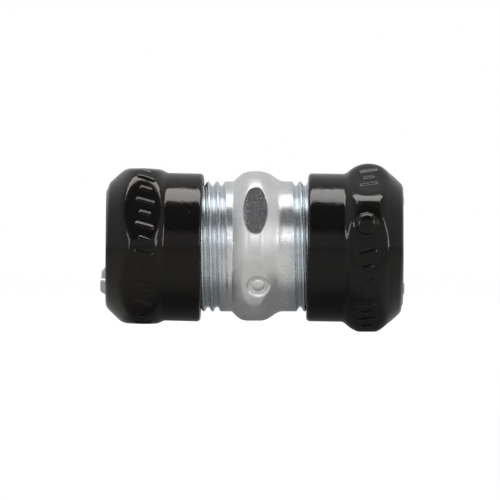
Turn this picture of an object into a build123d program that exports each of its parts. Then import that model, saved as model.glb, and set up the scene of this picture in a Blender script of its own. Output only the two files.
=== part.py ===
"""Raintight compression coupling for 1/2 inch trade size EMT conduit.

The axis runs along X, with the origin at the middle of the body and +Z up. A steel body with a
bulged hexagon carries a right-hand thread at each end. Each end holds a nut, a slip washer, a
split grip ring, a thrust washer and a sealing ring. A conduit goes in through the nut until it
meets the punched stops in the middle of the body. Sizes are in millimetres, angles in degrees,
and angles about the axis run from +Y towards +Z.
"""

import math
import os

from build123d import *

SIDES = {"left": -1, "right": 1}

# Thread, right-hand at both ends: 16 per inch, with truncated 60 degree flanks
PITCH = 25.4 / 16
CREST_RADIUS = 11.7
ROOT_RADIUS = 10.92
CREST_FLAT = 0.34
FLANK_SLOPE = math.tan(math.radians(30))
CREST_PLAY = 0.12
ROOT_PLAY = 0.20
FLANK_PLAY = 0.12
CUTTER_LIFT = 0.2

# Body
SOCKET_RADIUS = 9.2
BODY_HALF_LENGTH = 14.4
THREAD_START = 6.9
BODY_END_CHAMFER = 0.7
HEX_APOTHEM = 13.36
HEX_CROWN_RADIUS = 14.26
CROWN_X = -0.4
CAVITY_HALF_LENGTH = 4.2
CAVITY_FLOOR_HALF_LENGTH = 2.0
CAVITY_RADIUS = 10.8
SEAL_POCKET_RADIUS = 10.0
SEAL_POCKET_DEPTH = 2.6

# Bulge: a steep convex flank on the left and a long straight one on the right
BULGE_LEFT = -4.5
LEFT_FOOT_RISE = (0.9, 0.8)
LEFT_CROWN_EASE = 1.8
BULGE_RIGHT = 4.9
RIGHT_FOOT_EASE = 2.2
RIGHT_CROWN_EASE = 0.6

# Punched conduit stops in alternate flats
STOP_ANGLES = (90, 210, 330)
STOP_X = 0.4
STOP_RECESS_RADIUS = 2.3
STOP_FLOOR_RADIUS = 1.7
STOP_RECESS_DEPTH = 0.9
STOP_DOME_RADIUS = 1.05
STOP_DOME_HEIGHT = 0.6
STOP_BOSS_RADIUS = 1.8
STOP_TIP_RADIUS = 8.2

# Nut, with depths measured along the axis from its outer end
NUT_LENGTH = 17.1
NUT_OUTER_END = {"left": 27.2, "right": 26.3}
NUT_HEX_TURN = {"left": 0, "right": 30}
NUT_SKIRT_RADIUS = 13.32
NUT_APOTHEM = 14.15
NUT_CROWN_RADIUS = 15.25
NUT_CROWN_DEPTH = 6.2
NUT_CROWN_ARC = 5.4
NUT_FACE_RADIUS = 11.1
NUT_CONE_ANGLE = 43
NUT_HOLE_RADIUS = 10.0
NUT_HOLE_DEPTH = 1.0
NUT_CHAMBER_RADIUS = 12.0
NUT_CHAMBER_DEPTH = 8.0
NUT_COUNTERBORE = 1.2
NUT_GROOVE_INSET = 0.1
NUT_GROOVE_TURN = 40
NUT_EDGE = 0.3

# Slip washer: a dished ring that lines the nut's inner cone
SLIP_GAP = 0.05
SLIP_THICKNESS = 0.5
SLIP_BORE_EDGE = 10.25
SLIP_RIM_EDGE = 11.85

# Split grip ring, with depths from the nut's outer end while the ring is square to the axis
RING_BORE_RADIUS = 9.1
RING_LUG_RADIUS = 9.5
RING_BELT_RADIUS = 11.2
RING_TAIL_RADIUS = 10.0
RING_LUG_END = -0.15
RING_CONE_GAP = 0.75
RING_BELT_END = 5.0
RING_TAIL_END = 6.7
RING_PIVOT_DEPTH = 4.4
RING_LUGS = 3
RING_LUG_WIDTH = 46
RING_LUG_ANGLE = {"left": 227, "right": 228}
RING_SPLIT_GAP = 0.8
RING_SPLIT_OFFSET = -5
RING_CANT = {"left": 5, "right": 0}
RING_CANT_ANGLE = 237

# Thrust washer and sealing ring at the body's mouth
SEAL_BORE_RADIUS = 9.0
SEAL_RADIUS = 9.95
SEAL_PROUD = 0.5
SEAL_LIP = 0.35
THRUST_GAP = 0.35
THRUST_THICKNESS = 0.6
THRUST_BORE_RADIUS = 9.2
THRUST_RADIUS = 10.9

CONE = math.tan(math.radians(NUT_CONE_ANGLE))
REACH = 2 * BODY_HALF_LENGTH
SMALL = 0.05


def helical_cutter(start, end, turn, near, far):
    """A right-hand helical bar that starts at an angle of turn from the top, about +X.

    near and far are the (radius, width) of its inner and outer faces.
    """
    with BuildPart() as cutter:
        with BuildLine() as path:
            Helix(PITCH, end - start, near[0], center=(start, 0, 0), direction=(1, 0, 0))
        begin = path.line @ 0
        outward = Vector(0, begin.Y, begin.Z).normalized()
        with BuildSketch(Plane(begin, x_dir=outward, z_dir=path.line % 0)):
            with BuildLine():
                Polyline(
                    (0, -near[1] / 2),
                    (far[0] - near[0], -far[1] / 2),
                    (far[0] - near[0], far[1] / 2),
                    (0, near[1] / 2),
                    close=True,
                )
            make_face()
        sweep(is_frenet=True)
    return cutter.part.rotate(Axis.X, turn)


def ridge_width(radius):
    """Width of the body's thread ridge at a radius."""
    return CREST_FLAT + 2 * (CREST_RADIUS - radius) * FLANK_SLOPE


def make_body():
    """Tube with a bulged hexagon, two threads, two seal pockets and three punched stops."""
    cavity_edge = [(CAVITY_HALF_LENGTH, SOCKET_RADIUS), (CAVITY_FLOOR_HALF_LENGTH, CAVITY_RADIUS)]
    open_radius = CREST_RADIUS + CUTTER_LIFT
    right_groove = helical_cutter(
        THREAD_START,
        BODY_HALF_LENGTH + PITCH,
        0,
        (ROOT_RADIUS, PITCH - ridge_width(ROOT_RADIUS)),
        (open_radius, PITCH - ridge_width(open_radius)),
    )
    left_groove = right_groove.rotate(Axis.Z, 180)
    with BuildPart() as body:
        with BuildSketch(Plane.XZ):
            with BuildLine():
                Polyline(
                    (BULGE_RIGHT, CREST_RADIUS),
                    (BODY_HALF_LENGTH - BODY_END_CHAMFER, CREST_RADIUS),
                    (BODY_HALF_LENGTH, CREST_RADIUS - BODY_END_CHAMFER),
                    (BODY_HALF_LENGTH, SEAL_POCKET_RADIUS),
                    (BODY_HALF_LENGTH - SEAL_POCKET_DEPTH, SEAL_POCKET_RADIUS),
                    (BODY_HALF_LENGTH - SEAL_POCKET_DEPTH, SOCKET_RADIUS),
                    *cavity_edge,
                    *[(-x, r) for x, r in reversed(cavity_edge)],
                    (SEAL_POCKET_DEPTH - BODY_HALF_LENGTH, SOCKET_RADIUS),
                    (SEAL_POCKET_DEPTH - BODY_HALF_LENGTH, SEAL_POCKET_RADIUS),
                    (-BODY_HALF_LENGTH, SEAL_POCKET_RADIUS),
                    (-BODY_HALF_LENGTH, CREST_RADIUS - BODY_END_CHAMFER),
                    (BODY_END_CHAMFER - BODY_HALF_LENGTH, CREST_RADIUS),
                    (BULGE_LEFT, CREST_RADIUS),
                )
                Bezier(
                    (BULGE_LEFT, CREST_RADIUS),
                    (BULGE_LEFT + LEFT_FOOT_RISE[0], CREST_RADIUS + LEFT_FOOT_RISE[1]),
                    (CROWN_X - LEFT_CROWN_EASE, HEX_CROWN_RADIUS),
                    (CROWN_X, HEX_CROWN_RADIUS),
                )
                Bezier(
                    (CROWN_X, HEX_CROWN_RADIUS),
                    (CROWN_X + RIGHT_CROWN_EASE, HEX_CROWN_RADIUS),
                    (BULGE_RIGHT - RIGHT_FOOT_EASE, CREST_RADIUS),
                    (BULGE_RIGHT, CREST_RADIUS),
                )
            make_face()
        revolve(axis=Axis.X)
        with BuildSketch(Plane.YZ.offset(-BODY_HALF_LENGTH)):
            RegularPolygon(HEX_APOTHEM, 6, major_radius=False)
        extrude(amount=REACH, mode=Mode.INTERSECT)
        for angle in STOP_ANGLES:
            radial = Vector(0, math.cos(math.radians(angle)), math.sin(math.radians(angle)))
            tip = Plane(Vector(STOP_X, 0, 0) + radial * STOP_TIP_RADIUS, x_dir=(1, 0, 0), z_dir=radial)
            flat = tip.offset(HEX_APOTHEM - STOP_TIP_RADIUS)
            with BuildSketch(tip):
                Circle(STOP_BOSS_RADIUS)
            extrude(amount=CAVITY_RADIUS + 1 - STOP_TIP_RADIUS)
            with BuildSketch(flat):
                Circle(STOP_RECESS_RADIUS)
            with BuildSketch(flat.offset(-STOP_RECESS_DEPTH)):
                Circle(STOP_FLOOR_RADIUS)
            loft(mode=Mode.SUBTRACT)
            ball = (STOP_DOME_RADIUS**2 + STOP_DOME_HEIGHT**2) / (2 * STOP_DOME_HEIGHT)
            with Locations(flat.offset(STOP_DOME_HEIGHT - STOP_RECESS_DEPTH - ball)):
                Sphere(ball)
        add(right_groove, mode=Mode.SUBTRACT)
        add(left_groove, mode=Mode.SUBTRACT)
    return body


def make_nut(name, side):
    """Nut with a threaded skirt, a bulged hexagon and an inner cone that closes the grip ring."""
    bore = ROOT_RADIUS + ROOT_PLAY
    far = CREST_RADIUS + CREST_PLAY
    cone_depth = NUT_HOLE_DEPTH + (NUT_CHAMBER_RADIUS - NUT_HOLE_RADIUS) / CONE
    crown_centre = NUT_CROWN_RADIUS - NUT_CROWN_ARC
    # where the outer chamfer r = face + CONE * depth meets the crown arc, on the crown's side
    a = 1 + CONE**2
    b = CONE * (NUT_FACE_RADIUS - crown_centre) - NUT_CROWN_DEPTH
    c = NUT_CROWN_DEPTH**2 + (NUT_FACE_RADIUS - crown_centre) ** 2 - NUT_CROWN_ARC**2
    meet = (-b + math.sqrt(b * b - a * c)) / a
    skirt = NUT_CROWN_DEPTH + math.sqrt(NUT_CROWN_ARC**2 - (NUT_SKIRT_RADIUS - crown_centre) ** 2)
    # the turn that puts the nut's groove half a pitch from the body's, around the body's ridge
    groove_x = NUT_OUTER_END[name] - NUT_LENGTH + NUT_GROOVE_INSET
    turn = 360 * ((groove_x - THREAD_START) / PITCH - 0.5) - NUT_GROOVE_TURN
    groove = helical_cutter(
        NUT_GROOVE_INSET - NUT_LENGTH,
        PITCH / 2 - NUT_CHAMBER_DEPTH,
        NUT_GROOVE_TURN,
        (bore - CUTTER_LIFT, ridge_width(bore - CUTTER_LIFT) + 2 * FLANK_PLAY),
        (far, ridge_width(far) + 2 * FLANK_PLAY),
    )
    with BuildPart() as nut:
        with BuildSketch(Plane.XZ):
            with BuildLine():
                Line((0, NUT_FACE_RADIUS), (-meet, NUT_FACE_RADIUS + CONE * meet))
                ThreePointArc(
                    (-meet, NUT_FACE_RADIUS + CONE * meet),
                    (-NUT_CROWN_DEPTH, NUT_CROWN_RADIUS),
                    (-skirt, NUT_SKIRT_RADIUS),
                )
                Polyline(
                    (-skirt, NUT_SKIRT_RADIUS),
                    (NUT_EDGE - NUT_LENGTH, NUT_SKIRT_RADIUS),
                    (-NUT_LENGTH, NUT_SKIRT_RADIUS - NUT_EDGE),
                    (-NUT_LENGTH, far + NUT_EDGE),
                    (NUT_EDGE - NUT_LENGTH, far + SMALL),
                    (NUT_COUNTERBORE - NUT_LENGTH, far + SMALL),
                    (NUT_COUNTERBORE - NUT_LENGTH + far - bore, bore),
                    (bore - NUT_CHAMBER_RADIUS - NUT_CHAMBER_DEPTH, bore),
                    (-NUT_CHAMBER_DEPTH, NUT_CHAMBER_RADIUS),
                    (-cone_depth, NUT_CHAMBER_RADIUS),
                    (-NUT_HOLE_DEPTH, NUT_HOLE_RADIUS),
                    (0, NUT_HOLE_RADIUS),
                    (0, NUT_FACE_RADIUS),
                )
            make_face()
        revolve(axis=Axis.X)
        add(groove, mode=Mode.SUBTRACT)
        with BuildSketch(Plane.YZ.offset(-NUT_LENGTH)):
            RegularPolygon(NUT_APOTHEM, 6, major_radius=False, rotation=NUT_HEX_TURN[name] - turn)
        extrude(amount=NUT_LENGTH, mode=Mode.INTERSECT)
    nut.part = Pos(NUT_OUTER_END[name], 0, 0) * nut.part.rotate(Axis.X, turn)
    if side < 0:
        nut.part = nut.part.rotate(Axis.Z, 180)
    return nut


def make_slip_washer(name, side):
    """Dished washer between the nut's cone and the grip ring, so the nut can turn on it."""
    lean = math.radians(NUT_CONE_ANGLE)
    gap = Vector(math.sin(lean), -math.cos(lean)) * SLIP_GAP
    through = Vector(math.sin(lean), -math.cos(lean)) * SLIP_THICKNESS
    edges = [
        Vector(NUT_HOLE_DEPTH + (radius - NUT_HOLE_RADIUS) / CONE, radius) + gap
        for radius in (SLIP_BORE_EDGE, SLIP_RIM_EDGE)
    ]
    outline = [edges[0], edges[1], edges[1] + through, edges[0] + through]
    with BuildPart() as washer:
        with BuildSketch(Plane.XZ):
            with BuildLine():
                Polyline([(side * (NUT_OUTER_END[name] - p.X), p.Y) for p in outline], close=True)
            make_face()
        revolve(axis=Axis.X)
    return washer


def make_grip_ring(name, side):
    """Split ring with a cone at each side of its belt and lugs that reach into the nut's hole."""
    end = NUT_OUTER_END[name]
    cone_offset = (SLIP_GAP + SLIP_THICKNESS + RING_CONE_GAP) / math.cos(math.radians(NUT_CONE_ANGLE))

    def cone_depth(radius):
        return NUT_HOLE_DEPTH + (radius + cone_offset - NUT_HOLE_RADIUS) / CONE

    outline = [
        (RING_LUG_END, RING_BORE_RADIUS),
        (RING_LUG_END, RING_LUG_RADIUS),
        (cone_depth(RING_LUG_RADIUS), RING_LUG_RADIUS),
        (cone_depth(RING_BELT_RADIUS), RING_BELT_RADIUS),
        (RING_BELT_END, RING_BELT_RADIUS),
        (RING_TAIL_END, RING_TAIL_RADIUS),
        (RING_TAIL_END, RING_BORE_RADIUS),
    ]
    lug = RING_LUG_ANGLE[name]
    half_gap = 180 / RING_LUGS - RING_LUG_WIDTH / 2
    with BuildPart() as ring:
        with BuildSketch(Plane.XZ):
            with BuildLine():
                Polyline([(side * (end - depth), radius) for depth, radius in outline], close=True)
            make_face()
        revolve(axis=Axis.X)
        # open the sectors between the lugs, then the split
        with BuildSketch(Plane.YZ.offset(side * (end - cone_depth(RING_LUG_RADIUS)))):
            for k in range(RING_LUGS):
                middle = lug + (k + 0.5) * 360 / RING_LUGS
                rays = [
                    (REACH * math.cos(math.radians(t)), REACH * math.sin(math.radians(t)))
                    for t in (middle - half_gap, middle + half_gap)
                ]
                with BuildLine():
                    Polyline((0, 0), *rays, close=True)
                make_face()
        extrude(amount=side * REACH, mode=Mode.SUBTRACT)
        with BuildSketch(Plane.YZ):
            with Locations(Rotation(0, 0, lug + RING_SPLIT_OFFSET)):
                Rectangle(REACH, RING_SPLIT_GAP, align=(Align.MIN, Align.CENTER))
        extrude(amount=side * 2 * REACH, mode=Mode.SUBTRACT)
    turn = math.radians(RING_CANT_ANGLE)
    pivot = Axis((side * (end - RING_PIVOT_DEPTH), 0, 0), (0, -math.sin(turn), math.cos(turn)))
    ring.part = ring.part.rotate(pivot, -side * RING_CANT[name])
    return ring


def make_thrust_washer(side):
    """Flat steel washer that keeps the grip ring's split off the sealing ring."""
    with BuildPart() as washer:
        with BuildSketch(Plane.YZ.offset(side * (BODY_HALF_LENGTH + SEAL_PROUD + THRUST_GAP))):
            Circle(THRUST_RADIUS)
            Circle(THRUST_BORE_RADIUS, mode=Mode.SUBTRACT)
        extrude(amount=side * THRUST_THICKNESS)
    return washer


def make_seal(side):
    """Rubber ring in the body's mouth that seals on the conduit."""
    floor = BODY_HALF_LENGTH - SEAL_POCKET_DEPTH + SMALL
    with BuildPart() as seal:
        with BuildSketch(Plane.YZ.offset(side * floor)):
            Circle(SEAL_RADIUS)
            Circle(SEAL_BORE_RADIUS, mode=Mode.SUBTRACT)
        extrude(amount=side * (BODY_HALF_LENGTH + SEAL_PROUD - floor))
        lip = seal.faces().sort_by(Axis.X)[-1 if side > 0 else 0]
        fillet(lip.edges(), SEAL_LIP)
    return seal


def main():
    """Builds every piece and writes one STEP file for each."""
    pieces = {"coupling_body": make_body()}
    for name, side in SIDES.items():
        pieces[f"{name}_nut"] = make_nut(name, side)
        pieces[f"{name}_slip_washer"] = make_slip_washer(name, side)
        pieces[f"{name}_grip_ring"] = make_grip_ring(name, side)
        pieces[f"{name}_thrust_washer"] = make_thrust_washer(side)
        pieces[f"{name}_seal"] = make_seal(side)
    os.makedirs("parts", exist_ok=True)
    for label, piece in pieces.items():
        piece.part.label = label
        export_step(piece.part, f"parts/{label}.step")


main()
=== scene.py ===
"""Looks for the conduit compression coupling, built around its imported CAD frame.

The axis runs along X, with -Y towards the viewer and +Z up. Outlines are (x, radius) points in
millimetres, swept round the axis. Angles about the axis run from +Y towards +Z, in degrees, so that
90 is the top and 180 faces the viewer. Depths are measured inwards from a nut's outer end.
"""

import math

import bpy
import numpy as np
from mathutils import Matrix, Vector


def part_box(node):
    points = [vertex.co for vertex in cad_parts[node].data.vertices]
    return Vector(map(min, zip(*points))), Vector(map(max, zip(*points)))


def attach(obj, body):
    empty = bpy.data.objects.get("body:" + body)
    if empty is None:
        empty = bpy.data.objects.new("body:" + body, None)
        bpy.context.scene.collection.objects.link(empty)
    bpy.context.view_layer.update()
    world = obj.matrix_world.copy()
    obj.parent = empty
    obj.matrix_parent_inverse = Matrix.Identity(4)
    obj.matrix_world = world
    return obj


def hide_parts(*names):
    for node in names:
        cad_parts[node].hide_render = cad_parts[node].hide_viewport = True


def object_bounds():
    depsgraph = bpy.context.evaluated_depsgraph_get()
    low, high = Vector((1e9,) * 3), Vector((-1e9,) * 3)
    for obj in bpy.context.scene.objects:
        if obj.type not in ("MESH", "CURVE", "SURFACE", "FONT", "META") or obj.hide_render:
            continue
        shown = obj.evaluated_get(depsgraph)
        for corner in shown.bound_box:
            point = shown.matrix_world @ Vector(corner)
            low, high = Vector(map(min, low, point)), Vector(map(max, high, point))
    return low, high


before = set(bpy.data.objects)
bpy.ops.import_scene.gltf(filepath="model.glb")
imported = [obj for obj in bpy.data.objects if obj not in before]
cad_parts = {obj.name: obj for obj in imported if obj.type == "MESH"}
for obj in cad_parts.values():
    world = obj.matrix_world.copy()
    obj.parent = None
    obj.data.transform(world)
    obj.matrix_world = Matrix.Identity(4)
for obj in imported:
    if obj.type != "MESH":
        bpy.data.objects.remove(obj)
cad_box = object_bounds()

MM = 0.001
SIDES = {"left": -1, "right": 1}
SEGMENTS = 600
TOP = 90

# Body, from its CAD box
BODY_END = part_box("coupling_body")[1].x / MM
HEX_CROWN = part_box("coupling_body")[1].y / MM
HEX_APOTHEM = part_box("coupling_body")[1].z / MM
CREST = 11.7
ROOT = 10.92
SOCKET = 9.2
END_CHAMFER = 0.7
CAVITY = 10.8
POCKET = 10.0
POCKET_FLOOR = BODY_END - 2.6

# Bulge: a convex flank on the left and a straight one on the right, shifted to the right at the top
# and to the left underneath
BULGE_LEFT = -4.4
BULGE_HALF_LENGTH = 4.95
BULGE_SKEW = 0.18
CROWN_X = -0.2
RIGHT_FLANK_TOP = 14.5
RIGHT_FLANK_SLOPE = 0.68
# The flat on top is pressed less deep, and the four on the sides deeper
TOP_SWELL = 0.2
TOP_SWELL_REACH = 3.0
SIDE_PRESS = 0.15

# Thread: right-hand at both ends, with the (distance, angle) at which each groove starts
PITCH = 25.4 / 16
THREAD_START = {"left": (5.6, 272), "right": (6.17, 270)}
GROOVE_ROOT_HALF = 0.17
FLANK = math.tan(math.radians(60))
THREAD_FADE_TURNS = 0.3

# Punched stops: a dimple with a small dome in it outside, and a boss inside, with (edge, floor) radii
STOP_ANGLE = 93
STOP_SPACING = 120
STOP_X = 0.2
STOP_TIP = 8.2
BOSS_RADII = (2.0, 1.3)
DIMPLE_DEPTH = 0.42
DIMPLE_RADII = (2.25, 1.7)
STEP_DEPTH = 0.12
STEP_RADII = (1.5, 1.2)
DOME_HEIGHT = 0.42
DOME_RADIUS = 1.15

# Nuts: outside, a cone, a rounded crown with a hexagon pressed into it, and a skirt
NUT_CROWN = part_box("left_nut")[1].y / MM
NUT_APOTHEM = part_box("left_nut")[1].z / MM
NUT_LENGTH = (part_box("left_nut")[1].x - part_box("left_nut")[0].x) / MM
CONE_ANGLE = math.radians(43)
NUT_CONE = math.tan(CONE_ANGLE)
NUT_FACE = {"left": 11.1, "right": 11.38}
NUT_FACE_EDGE = 0.5
NUT_SKIRT = 13.32
NUT_SKIRT_EDGE = 0.7
NUT_CROWN_DEPTH = 6.2
NUT_CROWN_ARC = 5.4
NUT_HEX_TURN = {"left": 0, "right": 30}
FLAT_CROWN = 0.010
FLAT_CROWN_REACH = 4.0
FLAT_PRESS = 0.15
# How each nut's outside sits off its thread: slope upwards and sideways, shift inwards and upwards
NUT_LEAN = {"left": (0.0245, 0.014), "right": (0.016, 0.0)}
NUT_SHIFT = {"left": (0.25, -0.03), "right": (0.18, -0.265)}
NUT_PIVOT_DEPTH = 10.0

# Nuts: inside, from the lip through the cone and the chamber to the thread and its counterbore
NUT_HOLE = 10.0
NUT_LIP = 1.0
NUT_CONE_END = 3.18
NUT_CHAMBER = 12.0
NUT_CHAMBER_END = 8.0
NUT_BORE = 11.12
NUT_BORE_START = 8.88
NUT_GROOVE = 0.7
NUT_GROOVE_HALF = 0.22
NUT_COUNTERBORE = 11.87
NUT_COUNTERBORE_LENGTH = 1.2
NUT_WALL_MIDDLE = 0.75

# Raised slanted bars, long and short in turn, with plain stretches as (middle, half width)
MARKS = 36
MARK_GAPS = {"left": ((90, 21), (270, 21)), "right": ((90, 6), (270, 6), (155, 21))}
MARK_SLANT = math.radians(18)
MARK_DEPTH = {"left": 6.9, "right": 6.3}
MARK_LENGTHS = (3.0, 1.7)
MARK_WIDTH = 0.45
MARK_HEIGHT = 0.2

# The round pip on the right nut
PIP_ANGLE = 164.4
PIP_DEPTH = 6.6
PIP_RADIUS = 1.95
PIP_HEIGHT = 1.1
PIP_FOOT = 0.2

# Washers: (inner, outer) radii, thickness, and gap to the nut's cone or to the body's end
DISHED_RADII = (10.25, 11.85)
DISHED_THICKNESS = 0.5
DISHED_GAP = 0.05
FLAT_RADII = (9.2, 10.9)
FLAT_THICKNESS = 0.6
FLAT_GAP = 0.85

# Grip rings: the nose and the belt lie on a cone inside the nut's own
RING_CONE_GAP = 1.3 / math.cos(CONE_ANGLE)
RING_BORE = 9.1
RING_NOSE_RADIUS = 9.5
RING_BELT_RADIUS = 11.2
RING_TIP = -0.15
RING_BELT_END = 5.0
RING_TAIL = 6.7
RING_TAIL_RADIUS = 10.0
RING_PIVOT = 4.4
RING_CANT = {"left": 5, "right": 0}
RING_CANT_ANGLE = 237
RING_LUG_ANGLE = {"left": 227, "right": 228}
RING_LUG_SPACING = 120
RING_LUG_HALF = 23
RING_CORNER_REACH = 7
RING_CORNER_CUT = 0.75
RING_SLANT_CUT = 0.22
RING_SPLIT_OFFSET = -5
RING_SPLIT_HALF = 2.4
RING_SEGMENTS = 1440

# Seals: (inner, outer) radii, and how far they stand out of the body's mouth
SEAL_RADII = (9.05, 9.95)
SEAL_STAND = 0.5


# ---------------------------------------------------------------- shape helpers


def smooth_min(a, b, blend):
    """The smaller of a and b, with the corner between them rounded over."""
    near = np.maximum(blend - np.abs(a - b), 0) / blend
    return np.minimum(a, b) - near * near * blend / 4


def smooth_max(a, b, blend):
    """The larger of a and b, with the corner between them rounded over."""
    return -smooth_min(-a, -b, blend)


def ramp(low, high, value):
    """0 at low, 1 at high, smooth in between; low may be above high."""
    t = np.clip((value - low) / (high - low), 0, 1)
    return t * t * (3 - 2 * t)


def from_nearest(angle, turn, spacing):
    """Signed angle from the nearest of the directions turn + k * spacing."""
    return (angle - turn + spacing / 2) % spacing - spacing / 2


def hexagon(angle, apothem, turn):
    """Radius of a hexagon with a flat facing the direction turn."""
    return apothem / np.cos(np.radians(from_nearest(angle, turn, 60)))


def edge_round(distance, radius):
    """How far a quarter-round edge has dropped at a distance from the end face."""
    inside = np.clip(radius - distance, 0, radius)
    return radius - np.sqrt(radius * radius - inside * inside)


def edge_depths(radius):
    """Depths that sample a quarter-round edge evenly along its arc."""
    return radius * (1 - np.cos(np.radians(np.linspace(0, 90, 6))))


def dome(distance, radius, height):
    """Height of a rounded dome at a distance from its middle."""
    return height * np.sqrt(np.clip(1 - (distance / radius) ** 2, 0, 1))


def helix(x, angle, name, offset):
    """Distance from the middle of the nearest groove, and turns from where the groove starts."""
    side = SIDES[name]
    start, start_angle = THREAD_START[name]
    lead = (side * (angle - start_angle) % 360) / 360
    turns = (side * x - start) / PITCH - offset - lead
    nearest = np.round(turns)
    return np.abs(turns - nearest) * PITCH, nearest + lead


def groove_depth(distance, depth, half_width):
    """Depth of a truncated V groove at a distance from its middle."""
    flank = depth - (distance - half_width) * FLANK
    return smooth_max(smooth_min(flank, depth, 0.15), 0, 0.12)


def rounded(corners, loop):
    """Outline points for (x, radius, fillet, step) corners; step divides the run that follows."""
    count = len(corners)
    points = []
    ends = []
    for i, (x, r, fillet, _) in enumerate(corners):
        here = np.array((x, r))
        if fillet == 0 or (not loop and i in (0, count - 1)):
            ends.append([here])
            continue
        before = np.array(corners[i - 1][:2]) - here
        after = np.array(corners[(i + 1) % count][:2]) - here
        before /= np.linalg.norm(before)
        after /= np.linalg.norm(after)
        half = math.acos(np.clip(before @ after, -1, 1)) / 2
        centre = here + (before + after) / np.linalg.norm(before + after) * fillet / math.sin(half)
        first = here + before * fillet / math.tan(half) - centre
        last = here + after * fillet / math.tan(half) - centre
        arc = [first + (last - first) * t for t in np.linspace(0, 1, 5)]
        ends.append([centre + p / np.linalg.norm(p) * fillet for p in arc])
    for i in range(count if loop else count - 1):
        points += ends[i]
        start, end = ends[i][-1], ends[(i + 1) % count][0]
        parts = max(1, round(np.linalg.norm(end - start) / corners[i][3]))
        points += [start + (end - start) * k / parts for k in range(1, parts)]
    if not loop:
        points += ends[-1]
    return np.array(points)


def swept(name, outline, shape=None, arc=None, segments=SEGMENTS):
    """A closed mesh: the outline swept round the axis, or along an arc of (from, to) degrees.

    shape(x, radius, angle) returns the new x and radius and the masks to store on the points.
    """
    x, r = outline[:, 0], outline[:, 1]
    if np.sum(x * np.roll(r, -1) - np.roll(x, -1) * r) < 0:
        outline = outline[::-1]
    if arc:
        angles = np.linspace(arc[0], arc[1], round(segments * (arc[1] - arc[0]) / 360) + 1)
    else:
        angles = np.arange(segments) * 360 / segments
    rings, points = len(angles), len(outline)
    x = np.tile(outline[:, 0], (rings, 1))
    r = np.tile(outline[:, 1], (rings, 1))
    angle = np.tile(angles[:, None], (1, points))
    masks = {}
    if shape:
        x, r, masks = shape(x, r, angle)
    turn = np.radians(angle)
    co = np.stack((x, r * np.cos(turn), r * np.sin(turn)), axis=2).reshape(-1, 3) * MM
    index = np.arange(rings * points).reshape(rings, points)
    near = index if not arc else index[:-1]
    far = np.roll(index, -1, axis=0) if not arc else index[1:]
    quads = np.stack((near, np.roll(near, -1, axis=1), np.roll(far, -1, axis=1), far), axis=2)
    faces = quads.reshape(-1, 4).tolist()
    if arc:
        faces += [index[0][::-1].tolist(), index[-1].tolist()]
    mesh = bpy.data.meshes.new(name)
    mesh.from_pydata(co.tolist(), [], faces)
    mesh.shade_smooth()
    for mask, values in masks.items():
        attribute = mesh.attributes.new(mask, "FLOAT", "POINT")
        attribute.data.foreach_set("value", np.broadcast_to(values, x.shape).ravel().astype(np.float32))
    piece = bpy.data.objects.new(name, mesh)
    bpy.context.scene.collection.objects.link(piece)
    return piece


def fit(piece, node, body, material):
    """Puts a finished piece in a CAD node's place."""
    piece.data.materials.append(material)
    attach(piece, body)
    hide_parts(node)


# ---------------------------------------------------------------- body


def bulge(x):
    """Radius of the bulge before its flats are pressed."""
    rise = np.clip((x - BULGE_LEFT) / (CROWN_X - BULGE_LEFT), 0, 1)
    left = CREST + (HEX_CROWN - CREST) * np.sin(rise * math.pi / 2)
    right = smooth_min(RIGHT_FLANK_TOP - RIGHT_FLANK_SLOPE * x, HEX_CROWN, 0.3)
    return smooth_min(left, smooth_max(right, CREST, 0.5), 0.5)


def pressed_bulge(x, angle):
    """Radius of the bulge with its flats pressed in, and how far it stood over them before."""
    upwards = np.sin(np.radians(angle))
    sideways = np.cos(np.radians(angle))
    round_radius = bulge(x - BULGE_SKEW * upwards)
    on_top = ramp(40, 25, np.abs(from_nearest(angle, TOP, 360)))
    swell = TOP_SWELL * on_top * ramp(TOP_SWELL_REACH, 0, np.abs(x - CROWN_X))
    flat = hexagon(angle, HEX_APOTHEM + swell - SIDE_PRESS * sideways**2, TOP)
    # the corners of the top and bottom flats are rounder
    blend = 0.12 + 0.5 * ramp(0.7, 0.95, np.abs(upwards))
    return smooth_min(round_radius, flat, blend), round_radius - flat


def from_stop(x, angle, radius):
    """Distance along the surface from the middle of the nearest punched stop."""
    across = radius * np.sin(np.radians(from_nearest(angle, STOP_ANGLE, STOP_SPACING)))
    return np.hypot(x - STOP_X, across)


def thread_cut(x, angle):
    """Depth of the threads' grooves, fading in where each groove starts."""
    cut = np.zeros_like(x)
    for name, side in SIDES.items():
        off_groove, turns = helix(x, angle, name, 0)
        depth = groove_depth(off_groove, CREST - ROOT, GROOVE_ROOT_HALF)
        here = (side * x > THREAD_START[name][0] - PITCH / 2) & (turns >= 0)
        cut = np.where(here, depth * ramp(0, THREAD_FADE_TURNS, turns), cut)
    return cut


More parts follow.
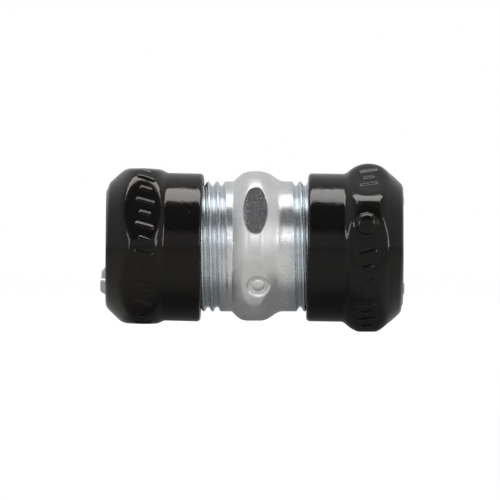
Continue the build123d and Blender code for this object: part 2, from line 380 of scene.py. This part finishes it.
def shape_body(x, r, angle):
    """Bulge, flats, stops, threads and the masks for the plating."""
    outer = r > ROOT - 0.05
    pressed, over_flat = pressed_bulge(x, angle)
    distance = from_stop(x, angle, pressed)
    recess = DIMPLE_DEPTH * ramp(*DIMPLE_RADII, distance) + STEP_DEPTH * ramp(*STEP_RADII, distance)
    dimpled = pressed - recess + dome(distance, DOME_RADIUS, DOME_HEIGHT)
    threaded = CREST - thread_cut(x, angle)
    skin = np.where(np.abs(x) > BULGE_HALF_LENGTH, threaded, dimpled)
    # the end chamfers lie under the crests
    skin = np.where(r > CREST - 0.01, skin, np.minimum(r, threaded))
    boss = (CAVITY - STOP_TIP) * ramp(*BOSS_RADII, from_stop(x, angle, r))
    # the plating is speckled on the flats; the speckles are strong on the upper flats and faint on the lower
    # ones, a painted difference: shade on the upper flats, reflected light kept on the lower ones
    painted_shade_upper_flats = 0.15 + 0.85 * ramp(-0.3, 0.3, np.sin(np.radians(angle)))
    masks = {
        "flat": np.where(outer, ramp(-0.02, 0.1, over_flat) * painted_shade_upper_flats * ramp(2.0, 2.6, distance), 0),
        "flank": np.where(outer, ramp(-4.6, -3.9, x) * ramp(-1.2, -2.8, x), 0),
        "thread": np.where(outer, ramp(5.2, 6.4, np.abs(x)), 0),
        "collar": np.where(outer, ramp(3.0, 4.6, np.abs(x)), 0),
    }
    return x, np.where(outer, skin, r - boss), masks


def make_body(material):
    """The threaded body with its bulged hexagon."""
    half = [
        (BODY_END - END_CHAMFER, CREST, 0.15, 0.15),
        (BODY_END, CREST - END_CHAMFER, 0.15, 0.3),
        (BODY_END, POCKET, 0.1, 1),
        (POCKET_FLOOR, POCKET, 0.05, 0.5),
        (POCKET_FLOOR, SOCKET, 0.1, 1.5),
        (4.2, SOCKET, 0.2, 0.5),
        (2.0, CAVITY, 0.3, 0.3),
    ]
    # a run's step is kept on the corner before it, which is the next one along in the mirrored half
    steps = [corner[3] for corner in reversed(half[:-1])] + [0.1]
    mirrored = [(-x, r, fillet, step) for (x, r, fillet, _), step in zip(reversed(half), steps)]
    body = swept("threaded_body", rounded(half + mirrored, True), shape_body)
    fit(body, "coupling_body", "coupling", material)


# ---------------------------------------------------------------- nuts


def nut_end(name):
    """Distance of a nut's outer end from the middle of the body."""
    return max(abs(corner.x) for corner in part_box(f"{name}_nut")) / MM


def nut_profile(depth, name):
    """Outside radius of a nut at a depth, before its flats are pressed."""
    crown_centre = NUT_CROWN - NUT_CROWN_ARC
    rise = np.clip(NUT_CROWN_ARC**2 - (depth - NUT_CROWN_DEPTH) ** 2, 0, None)
    crown = crown_centre + np.sqrt(rise)
    return smooth_min(NUT_FACE[name] + NUT_CONE * depth, smooth_max(crown, NUT_SKIRT, 0.6), 0.5)


def bar(along, across, length, width):
    """Distance outside a slanted bar, negative inside it."""
    u = np.abs(along * math.cos(MARK_SLANT) + across * math.sin(MARK_SLANT)) - length / 2
    v = np.abs(across * math.cos(MARK_SLANT) - along * math.sin(MARK_SLANT)) - width / 2
    return np.hypot(np.maximum(u, 0), np.maximum(v, 0)) + np.minimum(np.maximum(u, v), 0)


def around_nut(angle, turn):
    """Distance round a nut's crown from the direction turn."""
    return np.radians(from_nearest(angle, turn, 360)) * NUT_CROWN


def mark_height(depth, angle, name):
    """Height of the raised bars on a nut's band, and of the right nut's pip."""
    height = np.zeros_like(depth)
    for k in range(MARKS):
        turn = 360 * (k + 0.5) / MARKS
        if any(abs(from_nearest(turn, middle, 360)) < half for middle, half in MARK_GAPS[name]):
            continue
        length = MARK_LENGTHS[k % len(MARK_LENGTHS)]
        beyond = bar(depth - MARK_DEPTH[name], around_nut(angle, turn), length, MARK_WIDTH)
        height = np.maximum(height, MARK_HEIGHT * ramp(0.3, -0.08, beyond))
    if name == "right":
        distance = np.hypot(depth - PIP_DEPTH, around_nut(angle, PIP_ANGLE))
        height += dome(distance, PIP_RADIUS, PIP_HEIGHT)
        height += PIP_FOOT * ramp(PIP_RADIUS + 0.6, PIP_RADIUS - 0.2, distance)
    return height


def nut_outline(name):
    """A nut's outline as (depth, radius) points: the outside, then the inside."""
    depths = np.concatenate(
        (
            edge_depths(NUT_FACE_EDGE),
            np.arange(NUT_FACE_EDGE + 0.2, 11, 0.12),
            np.arange(11.2, NUT_LENGTH - NUT_SKIRT_EDGE - 0.1, 0.4),
            NUT_LENGTH - edge_depths(NUT_SKIRT_EDGE)[::-1],
        )
    )
    dropped = edge_round(depths, NUT_FACE_EDGE) + edge_round(NUT_LENGTH - depths, NUT_SKIRT_EDGE)
    outside = np.stack((depths, nut_profile(depths, name) - dropped), axis=1)
    inside = rounded(
        [
            (NUT_LENGTH, NUT_SKIRT - NUT_SKIRT_EDGE - 0.1, 0, 0.5),
            (NUT_LENGTH, NUT_COUNTERBORE + 0.3, 0.1, 0.5),
            (NUT_LENGTH - 0.3, NUT_COUNTERBORE, 0.1, 0.5),
            (NUT_LENGTH - NUT_COUNTERBORE_LENGTH, NUT_COUNTERBORE, 0.1, 0.15),
            (NUT_LENGTH - NUT_COUNTERBORE_LENGTH - 0.75, NUT_BORE, 0.1, 0.15),
            (NUT_BORE_START, NUT_BORE, 0.1, 0.3),
            (NUT_CHAMBER_END, NUT_CHAMBER, 0.2, 1),
            (NUT_CONE_END, NUT_CHAMBER, 0.3, 0.5),
            (NUT_LIP, NUT_HOLE, 0.2, 0.4),
            (0.0, NUT_HOLE, 0.25, 0.3),
            (0.0, NUT_FACE[name] - NUT_FACE_EDGE - 0.05, 0, 0.3),
        ],
        False,
    )
    return np.concatenate((outside, inside))


def make_nut(name, side, material):
    """A coated nut: cone, pressed hexagon, skirt, and a threaded bore inside."""
    end = nut_end(name)
    outline = nut_outline(name)
    outline[:, 0] = side * (end - outline[:, 0])

    def pressed_outside(depth, r, angle):
        off_crown = np.minimum(np.abs(depth - NUT_CROWN_DEPTH), FLAT_CROWN_REACH)
        apothem = NUT_APOTHEM - FLAT_PRESS - FLAT_CROWN * off_crown**2
        flat = hexagon(angle, apothem, NUT_HEX_TURN[name] + TOP)
        return smooth_min(r, flat, 0.7) + mark_height(depth, angle, name)

    def threaded_bore(x, depth, r, angle):
        distance, _ = helix(x, angle, name, 0.5)
        cut = NUT_BORE + groove_depth(distance, NUT_GROOVE, NUT_GROOVE_HALF)
        threaded = (depth > NUT_CHAMBER_END) & (depth < NUT_LENGTH - NUT_COUNTERBORE_LENGTH + 0.1)
        return np.where(threaded, np.maximum(r, cut), r)

    def shape(x, r, angle):
        depth = end - side * x
        outer = r > nut_profile(depth, name) - NUT_WALL_MIDDLE
        new = np.where(outer, pressed_outside(depth, r, angle), threaded_bore(x, depth, r, angle))
        # the outside leans a little, while the bore stays true
        face = np.where(depth < 0.5, ramp(NUT_HOLE, NUT_FACE[name] - 0.7, r), 0)
        rim = np.where(depth > NUT_LENGTH - 0.3, ramp(NUT_COUNTERBORE, NUT_SKIRT - NUT_SKIRT_EDGE, r), 0)
        moved = np.where(outer, 1, np.maximum(face, rim))
        turn = np.radians(angle)
        lean = NUT_LEAN[name][0] * np.sin(turn) + NUT_LEAN[name][1] * np.cos(turn)
        inwards, upwards = NUT_SHIFT[name]
        raised = upwards * np.sin(turn) - lean * (x - side * (end - NUT_PIVOT_DEPTH))
        x, new = x + moved * (lean * new - side * inwards), new + moved * raised
        return x, new, {"rim": ramp(NUT_LENGTH - 0.25, NUT_LENGTH - 0.02, depth)}

    nut = swept(f"{name}_coated_nut", outline, shape)
    fit(nut, f"{name}_nut", f"{name}_nut", material)


# ---------------------------------------------------------------- washers, rings and seals


def cone_depth(radius):
    """Depth at which a nut's inner cone has a radius."""
    return NUT_LIP + (radius - NUT_HOLE) / NUT_CONE


def make_dished_washer(name, side, material):
    """The washer that lines the nut's inner cone."""
    through = np.array((math.sin(CONE_ANGLE), -math.cos(CONE_ANGLE)))
    edges = [np.array((cone_depth(r), r)) + through * DISHED_GAP for r in DISHED_RADII]
    loop = edges + [edge + through * DISHED_THICKNESS for edge in reversed(edges)]
    outline = rounded([(depth, r, 0.15, 0.5) for depth, r in loop], True)
    outline[:, 0] = side * (nut_end(name) - outline[:, 0])
    washer = swept(f"{name}_dished_washer", outline)
    fit(washer, f"{name}_slip_washer", f"{name}_slip", material)


def make_grip_ring(name, side, material):
    """The split ring, with three lugs that reach into the nut's hole."""
    end = nut_end(name)
    nose = cone_depth(RING_NOSE_RADIUS + RING_CONE_GAP)
    belt = cone_depth(RING_BELT_RADIUS + RING_CONE_GAP)
    outline = rounded(
        [
            (RING_TIP, RING_BORE, 0.12, 0.3),
            (RING_TIP, RING_NOSE_RADIUS, 0.15, 0.25),
            (nose, RING_NOSE_RADIUS, 0.1, 0.4),
            (belt, RING_BELT_RADIUS, 0.2, 0.4),
            (RING_BELT_END, RING_BELT_RADIUS, 0.2, 0.4),
            (RING_TAIL, RING_TAIL_RADIUS, 0.15, 0.4),
            (RING_TAIL, RING_BORE, 0.15, 0.5),
        ],
        True,
    )
    outline[:, 0] = side * (end - outline[:, 0])
    lug_angle = RING_LUG_ANGLE[name]

    def shape(x, r, angle):
        depth = end - side * x
        off = from_nearest(angle, lug_angle, RING_LUG_SPACING)
        # the lugs keep their length, with corners cut at a slant, and the gaps between are opened
        corner = np.clip((np.abs(off) - RING_LUG_HALF) / RING_CORNER_REACH + 1, 0, 1)
        corner = RING_CORNER_CUT * corner + RING_SLANT_CUT * ramp(2, -14, off)
        kept = ramp(RING_LUG_HALF + 0.5, RING_LUG_HALF - 0.1, np.abs(off)) * (1 - corner / (nose - RING_TIP))
        depth = np.where(depth < nose, nose - (nose - depth) * np.maximum(kept, 0.01), depth)
        return side * (end - depth), r, {}

    split = lug_angle + RING_SPLIT_OFFSET
    arc = (split + RING_SPLIT_HALF, split + 360 - RING_SPLIT_HALF)
    ring = swept(f"{name}_split_ring", outline, shape, arc, RING_SEGMENTS)
    turn = math.radians(RING_CANT_ANGLE)
    pivot = Matrix.Translation((side * (end - RING_PIVOT) * MM, 0, 0))
    axis = Vector((0, -math.sin(turn), math.cos(turn)))
    cant = Matrix.Rotation(math.radians(-side * RING_CANT[name]), 4, axis)
    ring.data.transform(pivot @ cant @ pivot.inverted())
    fit(ring, f"{name}_grip_ring", f"{name}_ring", material)


def make_flat_washer(name, side, material):
    """The washer between the ring and the seal."""
    near = BODY_END + FLAT_GAP
    far = near + FLAT_THICKNESS
    inner, outer = FLAT_RADII
    loop = [(near, inner), (far, inner), (far, outer), (near, outer)]
    outline = rounded([(side * x, r, 0.12, 0.5) for x, r in loop], True)
    washer = swept(f"{name}_flat_washer", outline)
    fit(washer, f"{name}_thrust_washer", f"{name}_thrust", material)


def make_seal(name, side, material):
    """The rubber ring in the body's mouth."""
    floor, face = POCKET_FLOOR + 0.05, BODY_END + SEAL_STAND
    inner, outer = SEAL_RADII
    loop = [(floor, inner, 0.1), (face, inner, 0.35), (face, outer, 0.35), (floor, outer, 0.1)]
    outline = rounded([(side * x, r, fillet, 0.4) for x, r, fillet in loop], True)
    seal = swept(f"{name}_rubber_seal", outline)
    fit(seal, f"{name}_seal", "coupling", material)


# ---------------------------------------------------------------- materials


class Nodes:
    """Short calls for building the nodes of a material or a world."""

    def __init__(self, owner, shader="Principled BSDF"):
        owner.use_nodes = True
        self.tree = owner.node_tree
        self.shader = self.tree.nodes[shader]

    def set(self, node, inputs):
        for key, value in inputs.items():
            if isinstance(value, bpy.types.NodeSocket):
                self.tree.links.new(value, node.inputs[key])
            else:
                node.inputs[key].default_value = value

    def add(self, kind, out=0, inputs=None, **settings):
        node = self.tree.nodes.new(kind)
        for key, value in settings.items():
            setattr(node, key, value)
        self.set(node, inputs or {})
        return node.outputs[out]

    def noise(self, scale, stretch=(1, 1, 1), detail=3.0, rough=0.5):
        """Noise over the object's own metres; stretch multiplies the scale on each axis."""
        place = self.add("ShaderNodeTexCoord", "Object")
        place = self.add("ShaderNodeVectorMath", 0, {0: place, 1: stretch}, operation="MULTIPLY")
        settings = {"Vector": place, "Scale": scale, "Detail": detail, "Roughness": rough}
        return self.add("ShaderNodeTexNoise", "Fac", settings)

    def spread(self, value, low, high, to_low=0.0, to_high=1.0):
        """value from low..high to to_low..to_high, clamped."""
        inputs = {"Value": value, "From Min": low, "From Max": high, "To Min": to_low, "To Max": to_high}
        return self.add("ShaderNodeMapRange", 0, inputs)

    def math(self, operation, a, b=0.0):
        return self.add("ShaderNodeMath", 0, {0: a, 1: b}, operation=operation)

    def mix(self, factor, a, b):
        inputs = {"Factor": factor, 6: a, 7: b}
        return self.add("ShaderNodeMix", 2, inputs, data_type="RGBA")

    def mask(self, name):
        return self.add("ShaderNodeAttribute", "Fac", attribute_name=name)

    def axes(self, vector):
        """The X, Y and Z of a vector."""
        node = self.tree.nodes.new("ShaderNodeSeparateXYZ")
        self.set(node, {0: vector})
        return node.outputs

    def bump(self, height, distance, normal=None):
        inputs = {"Height": height, "Distance": distance, "Strength": 1.0}
        if normal is not None:
            inputs["Normal"] = normal
        return self.add("ShaderNodeBump", 0, inputs)


def zinc_plating():
    """Bright zinc: speckled on the flats, with painted shade where the speckles darken the upper flats more,
    mottled on the collars, streaked and bluish on the threads.
    """
    material = bpy.data.materials.new("zinc_plating")
    n = Nodes(material)
    flat = n.mask("flat")
    flank = n.mask("flank")
    thread = n.mask("thread")
    collar = n.mask("collar")
    clouds = n.noise(300, detail=4)
    mottle = n.noise(1500, detail=4, rough=0.65)
    specks = n.noise(4600, detail=2, rough=0.75)
    turning = n.noise(1.0, (11000, 350, 350), detail=3)
    color = n.mix(n.spread(clouds, 0.35, 0.65), (0.82, 0.825, 0.83, 1), (0.92, 0.92, 0.92, 1))
    blue = n.math("MULTIPLY", thread, n.spread(turning, 0.35, 0.65, 0.3, 1.0))
    color = n.mix(blue, color, (0.66, 0.74, 0.80, 1))
    stained = n.math("MULTIPLY", collar, n.spread(mottle, 0.52, 0.68, 0.0, 0.35))
    color = n.mix(stained, color, (0.40, 0.41, 0.43, 1))
    dots = n.mix(n.spread(specks, 0.50, 0.66), (0.50, 0.50, 0.52, 1), (1.0, 1.0, 1.0, 1))
    # the flat mask is strong on the upper flats and faint on the lower ones, so these speckles also paint
    # shade on the upper flats
    color = n.mix(flat, color, dots)
    rough = n.spread(clouds, 0.3, 0.7, 0.29, 0.35)
    rough = n.math("ADD", rough, n.math("MULTIPLY", collar, n.spread(mottle, 0.35, 0.65, -0.12, -0.02)))
    rough = n.math("ADD", rough, n.math("MULTIPLY", flank, 0.2))
    rough = n.math("ADD", rough, n.math("MULTIPLY", flat, n.spread(specks, 0.45, 0.70, -0.17, -0.05)))
    normal = n.bump(n.math("MULTIPLY", specks, n.math("ADD", flat, 0.4)), 0.000012)
    normal = n.bump(n.math("MULTIPLY", turning, collar), 0.00003, normal)
    n.set(n.shader, {"Base Color": color, "Metallic": 1.0, "Roughness": rough, "Normal": normal})
    return material


def black_coating(name, tints):
    """Thick glossy black coating over steel, with orange peel, dust specks and a worn rim."""
    material = bpy.data.materials.new(f"{name}_black_coating")
    n = Nodes(material)
    peel = n.noise(380, detail=2)
    grain = n.noise(2600, detail=3)
    chips = n.noise(3000, detail=2, rough=0.7)
    dust = n.noise(6000, detail=1)
    worn = n.math("MULTIPLY", n.mask("rim"), n.spread(chips, 0.58, 0.66, 0.0, 0.6))
    worn = n.math("MAXIMUM", worn, n.math("MULTIPLY", n.spread(dust, 0.78, 0.80), 0.4))
    color = n.mix(n.noise(700, detail=3), (0.0015, 0.0014, 0.0014, 1), (0.0035, 0.0032, 0.0030, 1))
    color = n.mix(worn, color, (0.42, 0.41, 0.38, 1))
    height = n.math("ADD", peel, n.math("MULTIPLY", grain, 0.15))
    rough = n.spread(n.noise(900, detail=3), 0.3, 0.7, 0.08, 0.17)
    film = n.spread(n.noise(160, detail=2), 0.38, 0.62)
    look = {
        "Base Color": color,
        "Metallic": worn,
        "Roughness": n.math("ADD", rough, n.math("MULTIPLY", worn, 0.25)),
        "IOR": 1.38,
        "Specular Tint": n.mix(film, *tints),
        "Normal": n.bump(height, 0.00006),
    }
    n.set(n.shader, look)
    return material


def spring_steel():
    """Bright steel of the grip rings and washers, with fine turning marks."""
    material = bpy.data.materials.new("spring_steel")
    n = Nodes(material)
    clouds = n.noise(500, detail=4)
    brushed = n.noise(1.0, (9000, 900, 900), detail=2)
    color = n.mix(clouds, (0.62, 0.62, 0.64, 1), (0.80, 0.80, 0.80, 1))
    rough = n.spread(clouds, 0.3, 0.7, 0.24, 0.38)
    normal = n.bump(brushed, 0.00002)
    n.set(n.shader, {"Base Color": color, "Metallic": 1.0, "Roughness": rough, "Normal": normal})
    return material


def seal_rubber():
    """Matte black rubber."""
    material = bpy.data.materials.new("seal_rubber")
    n = Nodes(material)
    grain = n.noise(3500, detail=3)
    color = n.mix(grain, (0.012, 0.012, 0.012, 1), (0.03, 0.03, 0.03, 1))
    rough = n.spread(grain, 0.3, 0.7, 0.55, 0.75)
    n.set(n.shader, {"Base Color": color, "Roughness": rough, "Normal": n.bump(grain, 0.00002)})
    return material


# ---------------------------------------------------------------- build the pieces

zinc = zinc_plating()
coatings = {
    "left": black_coating("left", ((1.0, 0.93, 0.89, 1), (0.98, 0.95, 0.91, 1))),
    "right": black_coating("right", ((0.92, 1.0, 0.89, 1), (1.0, 0.94, 1.0, 1))),
}
steel = spring_steel()
rubber = seal_rubber()

make_body(zinc)
for side_name, side_sign in SIDES.items():
    make_nut(side_name, side_sign, coatings[side_name])
    make_dished_washer(side_name, side_sign, steel)
    make_grip_ring(side_name, side_sign, steel)
    make_flat_washer(side_name, side_sign, steel)
    make_seal(side_name, side_sign, rubber)


# ---------------------------------------------------------------- stage, light and camera

FLOOR_Z = cad_box[0].z - 0.0001
FLOOR_HALF = 4.0
FRAME_WIDTH = 0.090
AIM = Vector((-1.26 * MM, 0, -0.64 * MM))
CAMERA_DISTANCE = 2.0
LIGHT_DISTANCE = 0.6
WHITE = (1.0, 1.0, 1.0)
WARM_WHITE = (1.0, 0.985, 0.97)


def make_floor():
    """A pale floor that the camera sees nearly white from above, and doesn't see from below."""
    corners = [(-1, -1), (1, -1), (1, 1), (-1, 1)]
    mesh = bpy.data.meshes.new("floor")
    points = [(x * FLOOR_HALF, y * FLOOR_HALF, FLOOR_Z) for x, y in corners]
    mesh.from_pydata(points, [], [(0, 1, 2, 3)])
    floor = bpy.data.objects.new("floor", mesh)
    bpy.context.scene.collection.objects.link(floor)
    material = bpy.data.materials.new("pale_floor")
    n = Nodes(material)
    seen = n.add("ShaderNodeLightPath", "Is Camera Ray")
    below = n.math("MULTIPLY", seen, n.add("ShaderNodeNewGeometry", "Backfacing"))
    # painted light: the floor seen in reflections glows in front of the object, filling in the shade under
    # it, and this glow fades behind it as painted shade
    behind = n.axes(n.add("ShaderNodeNewGeometry", "Position"))["Y"]
    painted_floor_glow = n.spread(behind, 0.0, 0.06, 0.13, 0.01)
    look = {
        "Base Color": n.mix(seen, (0.27, 0.27, 0.265, 1), (0.12, 0.12, 0.12, 1)),
        "Roughness": 1.0,
        "Specular IOR Level": 0.0,
        "Emission Color": (1, 1, 1, 1),
        "Emission Strength": n.add("ShaderNodeMix", 0, {"Factor": seen, 2: painted_floor_glow, 3: 0.95}),
        "Alpha": n.math("SUBTRACT", 1.0, below),
    }
    n.set(n.shader, look)
    mesh.materials.append(material)


def make_light(name, direction, size, radiance, color, lit):
    """A rectangular soft light on the objects in lit, with angles in degrees seen from the object.

    The direction is an azimuth to the right and an elevation, both from the direction of the camera.
    The size is a width and a height.
    """
    turn, lift = (math.radians(angle) for angle in direction)
    width, height = (2 * LIGHT_DISTANCE * math.tan(math.radians(angle / 2)) for angle in size)
    away = Vector((math.sin(turn) * math.cos(lift), -math.cos(turn) * math.cos(lift), math.sin(lift)))
    lamp = bpy.data.lights.new(name, "AREA")
    lamp.shape = "RECTANGLE"
    lamp.size = width
    lamp.size_y = height
    lamp.energy = radiance * math.pi * width * height
    lamp.color = color
    light = bpy.data.objects.new(name, lamp)
    light.location = away * LIGHT_DISTANCE
    light.rotation_euler = away.to_track_quat("Z", "Y").to_euler()
    bpy.context.scene.collection.objects.link(light)
    receivers = bpy.data.collections.new(f"{name}_receivers")
    for piece in lit:
        receivers.objects.link(piece)
    light.light_linking.receiver_collection = receivers


def make_lights():
    """Overhead, front and side lights; the bright plating has dimmer ones of its own."""
    plated = [bpy.data.objects["threaded_body"]]
    nuts = [bpy.data.objects[f"{name}_coated_nut"] for name in SIDES]
    others = [obj for obj in bpy.context.scene.objects if obj.type == "MESH" and obj not in plated]
    make_light("overhead_softbox", (0, 89), (74, 27), 7.5, WARM_WHITE, others)
    make_light("overhead_for_plating", (0, 89.5), (74, 29), 1.5, WHITE, plated)
    make_light("front_for_plating", (0, 22), (60, 24), 0.82, WHITE, plated)
    for name, side in SIDES.items():
        make_light(f"{name}_strip_light", (side * 60, 12), (8, 22), 7.0, WHITE, nuts)
        make_light(f"{name}_strip_for_plating", (side * 60, 12), (8, 22), 2.0, WHITE, plated)


def make_camera():
    """The camera looks along +Y, level with the axis."""
    data = bpy.data.cameras.new("camera")
    data.sensor_width = 36
    data.lens = data.sensor_width * CAMERA_DISTANCE / FRAME_WIDTH
    data.clip_start = 0.01
    data.clip_end = 20
    camera = bpy.data.objects.new("camera", data)
    camera.location = AIM + Vector((0, -CAMERA_DISTANCE, 0))
    camera.rotation_euler = (math.pi / 2, 0, 0)
    bpy.context.scene.collection.objects.link(camera)
    bpy.context.scene.camera = camera


def make_world():
    """Pale surroundings, with a dark gap in front between the overhead light and the front one."""
    world = bpy.data.worlds.new("surroundings")
    n = Nodes(world, "Background")
    direction = n.axes(n.add("ShaderNodeTexCoord", "Generated"))
    sideways = n.math("ABSOLUTE", direction["X"])
    forward = n.math("MULTIPLY", direction["Y"], -1)
    elevation = n.math("ARCTAN2", direction["Z"], forward)
    above = n.spread(elevation, math.radians(20), math.radians(27))
    below = n.spread(elevation, math.radians(112), math.radians(100))
    between = n.spread(sideways, 0.75, 0.55)
    gap = n.math("MULTIPLY", n.math("MULTIPLY", above, below), between)
    color = n.mix(gap, (0.58, 0.58, 0.585, 1), (0.155, 0.155, 0.16, 1))
    seen = n.add("ShaderNodeLightPath", "Is Camera Ray")
    n.set(n.shader, {"Color": n.mix(seen, color, (1, 1, 1, 1))})
    bpy.context.scene.world = world


make_floor()
make_world()
make_lights()
make_camera()
bpy.context.scene.view_settings.view_transform = "Standard"
